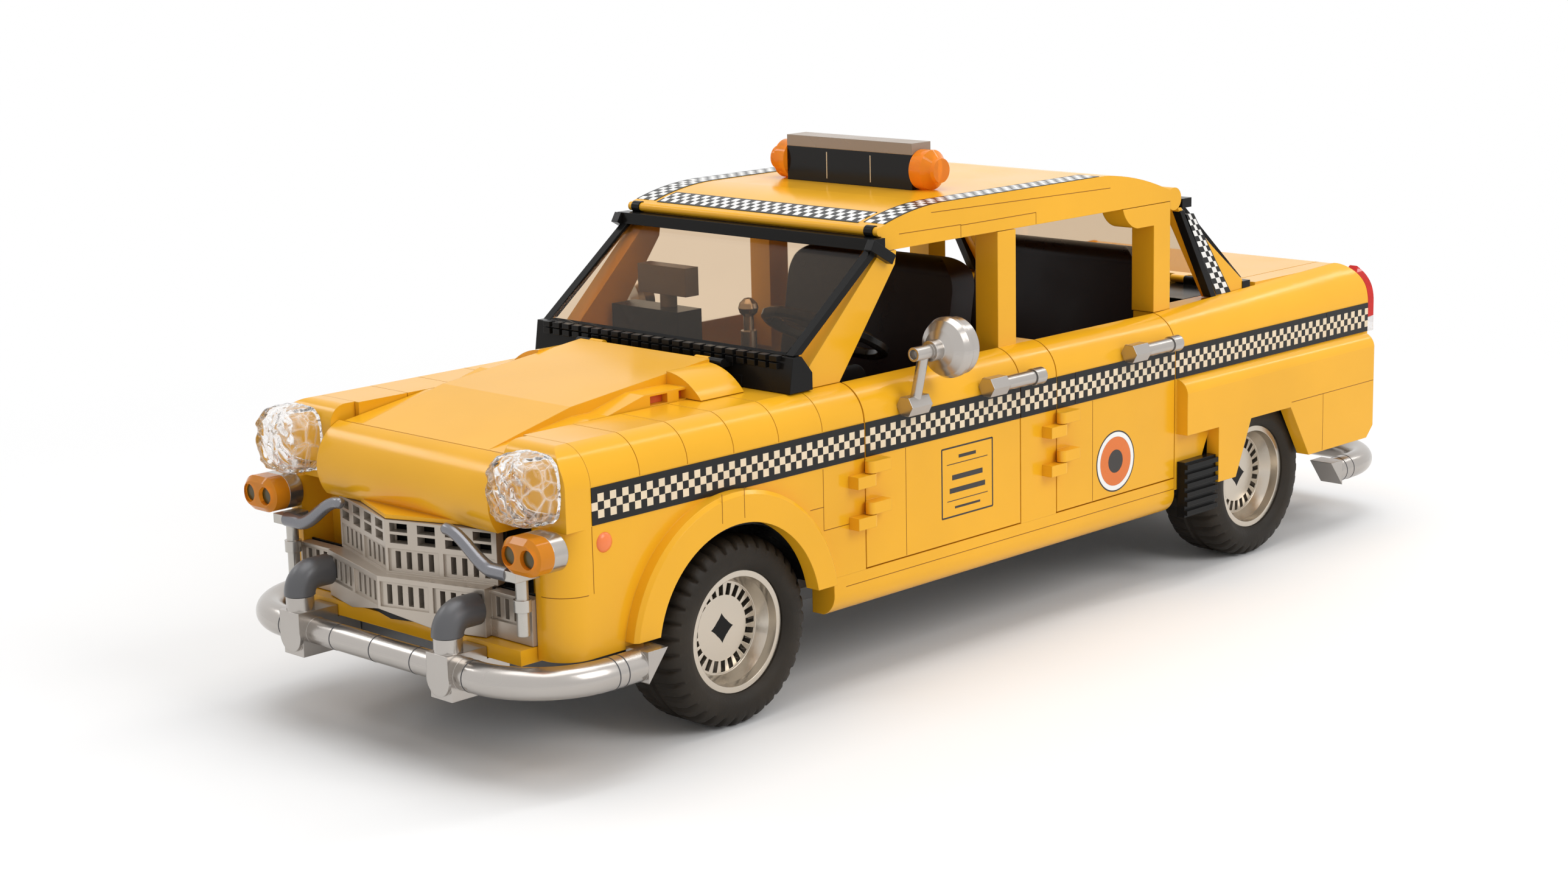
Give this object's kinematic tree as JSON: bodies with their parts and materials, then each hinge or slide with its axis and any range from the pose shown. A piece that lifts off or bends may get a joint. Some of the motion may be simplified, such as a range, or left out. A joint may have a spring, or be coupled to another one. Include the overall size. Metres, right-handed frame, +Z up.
{
  "type": "brick-built toy taxi cab",
  "caption": "Toy of an old-fashioned taxi cab made of interlocking plastic bricks, with rolling wheels, doors, hood and trunk lid that open, and a blank roof sign.",
  "frame": {"origin": "on the ground under the middle of the toy, between the bumpers' ends", "axes": "+X forward, +Y to the cab's left, +Z up"},
  "size_m": [0.3837, 0.1404, 0.1376],
  "materials": {
    "yellow_plastic": "gloss moulded",
    "black_plastic": "gloss moulded",
    "dark_grey_plastic": "gloss moulded",
    "light_grey_plastic": "gloss moulded",
    "silver_plastic": "metallic moulded",
    "chrome_plastic": "vacuum plated",
    "clear_plastic": "clear moulded",
    "amber_plastic": "clear moulded",
    "red_plastic": "clear moulded",
    "smoke_plastic": "clear moulded",
    "brown_plastic": "gloss moulded",
    "tyre_rubber": "matte"
  },
  "bodies": {
    "body": {"front_fender_left": "yellow_plastic", "front_fender_right": "yellow_plastic", "nose_panel": "yellow_plastic", "a_posts": "yellow_plastic", "b_posts": "yellow_plastic", "c_posts": "yellow_plastic", "roof": "yellow_plastic", "sills": "yellow_plastic", "door_hinges": "yellow_plastic", "rear_quarter_left": "yellow_plastic", "rear_quarter_right": "yellow_plastic", "tail_panel": "yellow_plastic", "sail_posts": "yellow_plastic", "wheel_tubs": "black_plastic", "cowl": "black_plastic", "windscreen_frame": "black_plastic", "roof_sign": "black_plastic", "stone_guards": "black_plastic", "rear_screen_bar": "black_plastic", "rear_shelf": "black_plastic", "dashboard": "black_plastic", "steering_wheel": "black_plastic", "chassis": "dark_grey_plastic", "bumper_guards": "dark_grey_plastic", "engine": "dark_grey_plastic", "sign_cap": "light_grey_plastic", "meter": "light_grey_plastic", "grille": "silver_plastic", "grille_bars": "silver_plastic", "front_bumper": "chrome_plastic", "rear_bumper": "chrome_plastic", "indicator_housings": "chrome_plastic", "lever": "chrome_plastic", "headlamp_lenses": "clear_plastic", "reverse_lamps": "clear_plastic", "indicator_lenses": "amber_plastic", "sign_lamps": "amber_plastic", "tail_lamps": "red_plastic", "windscreen_glass": "smoke_plastic", "rear_glass": "smoke_plastic", "front_seat": "brown_plastic", "rear_seat": "brown_plastic"},
    "front_wheels": {"front_axle": "black_plastic", "front_rims": "silver_plastic", "front_tyres": "tyre_rubber"},
    "rear_wheels": {"rear_axle": "black_plastic", "rear_rims": "silver_plastic", "rear_tyres": "tyre_rubber"},
    "hood": {"hood": "yellow_plastic"},
    "trunk_lid": {"trunk_lid": "yellow_plastic"},
    "front_door_left": {"front_door_left": "yellow_plastic", "front_door_handle_left": "chrome_plastic", "mirror_left": "chrome_plastic"},
    "rear_door_left": {"rear_door_left": "yellow_plastic", "rear_door_handle_left": "chrome_plastic"},
    "front_door_right": {"front_door_right": "yellow_plastic", "front_door_handle_right": "chrome_plastic", "mirror_right": "chrome_plastic"},
    "rear_door_right": {"rear_door_right": "yellow_plastic", "rear_door_handle_right": "chrome_plastic"}
  },
  "joints": [
    {"name": "front_wheels_roll", "type": "hinge", "parent": "body", "child": "front_wheels", "pos_m": [0.11375, 0, 0.0248], "axis": [0, 1, 0], "continuous": true},
    {"name": "rear_wheels_roll", "type": "hinge", "parent": "body", "child": "rear_wheels", "pos_m": [-0.11225, 0, 0.0248], "axis": [0, 1, 0], "continuous": true},
    {"name": "hood_lift", "type": "hinge", "parent": "body", "child": "hood", "pos_m": [0.09165, 0, 0.0879], "axis": [0, -1, 0], "range_deg": [0, 55]},
    {"name": "trunk_lift", "type": "hinge", "parent": "body", "child": "trunk_lid", "pos_m": [-0.11805, 0, 0.0831], "axis": [0, 1, 0], "range_deg": [0, 60]},
    {"name": "front_door_left_swing", "type": "hinge", "parent": "body", "child": "front_door_left", "pos_m": [0.06825, 0.058, 0.05], "axis": [0, 0, -1], "range_deg": [0, 65]},
    {"name": "rear_door_left_swing", "type": "hinge", "parent": "body", "child": "rear_door_left", "pos_m": [-0.01175, 0.058, 0.05], "axis": [0, 0, -1], "range_deg": [0, 65]},
    {"name": "front_door_right_swing", "type": "hinge", "parent": "body", "child": "front_door_right", "pos_m": [0.06825, -0.058, 0.05], "axis": [0, 0, 1], "range_deg": [0, 65]},
    {"name": "rear_door_right_swing", "type": "hinge", "parent": "body", "child": "rear_door_right", "pos_m": [-0.01175, -0.058, 0.05], "axis": [0, 0, 1], "range_deg": [0, 65]}
  ]
}
